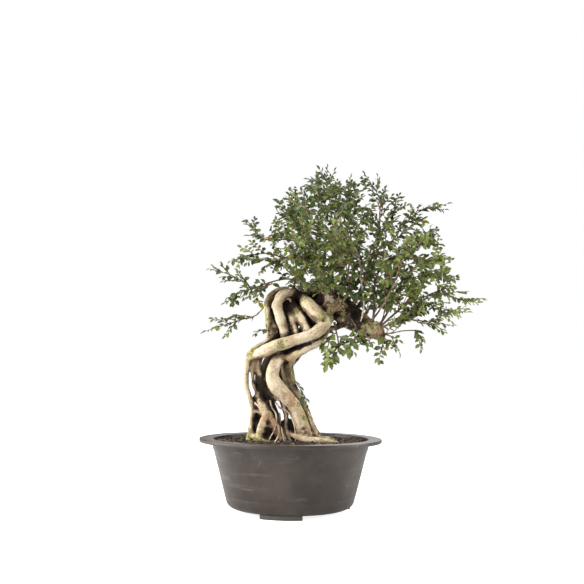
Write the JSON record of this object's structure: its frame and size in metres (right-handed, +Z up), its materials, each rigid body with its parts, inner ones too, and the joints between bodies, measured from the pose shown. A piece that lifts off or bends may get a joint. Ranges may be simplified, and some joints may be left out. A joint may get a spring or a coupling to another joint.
{
  "type": "chinese elm bonsai in a round training pot",
  "caption": "Small-leaved elm bonsai with bare twining roots, a burled trunk that leans to one side and a spreading leafy crown, rooted in soil in a low round plastic pot.",
  "frame": {"origin": "under the middle of the whole object's box, on the surface it stands on; the pot's axis is 83 mm to -X of it", "axes": "+Z up; the crown leans to +X; the picture looks along +Y"},
  "size_m": [0.4628, 0.29, 0.5732],
  "materials": {
    "pot": "matte dark brown-grey plastic with faint scuffs",
    "soil": "damp crumbly soil with bits of moss",
    "bark": "pale smooth bark with lichen, dark in the hollows",
    "leaf": "small firm serrated green leaves with a satin face"
  },
  "bodies": {
    "root": {"pot": "pot", "soil": "soil", "trunk": "bark", "spray_01": "leaf", "spray_02": "leaf", "spray_03": "leaf", "spray_04": "leaf", "spray_05": "leaf", "spray_06": "leaf", "spray_07": "leaf", "spray_08": "leaf", "spray_09": "leaf", "spray_10": "leaf", "spray_11": "leaf", "spray_12": "leaf", "spray_13": "leaf", "spray_14": "leaf", "spray_15": "leaf", "spray_16": "leaf", "spray_17": "leaf", "spray_18": "leaf", "spray_19": "leaf", "spray_20": "leaf", "spray_21": "leaf", "spray_22": "leaf", "spray_23": "leaf", "spray_24": "leaf", "spray_25": "leaf", "spray_26": "leaf", "spray_27": "leaf", "spray_28": "leaf", "spray_29": "leaf", "spray_30": "leaf", "spray_31": "leaf", "spray_32": "leaf", "spray_33": "leaf", "spray_34": "leaf", "spray_35": "leaf", "spray_36": "leaf", "spray_37": "leaf", "spray_38": "leaf", "spray_39": "leaf", "spray_40": "leaf", "spray_41": "leaf", "spray_42": "leaf", "spray_43": "leaf", "spray_44": "leaf", "spray_45": "leaf", "spray_46": "leaf", "spray_47": "leaf", "spray_48": "leaf", "spray_49": "leaf", "spray_50": "leaf", "spray_51": "leaf", "spray_52": "leaf", "spray_53": "leaf", "spray_54": "leaf", "spray_55": "leaf", "spray_56": "leaf", "spray_57": "leaf"}
  },
  "joints": []
}
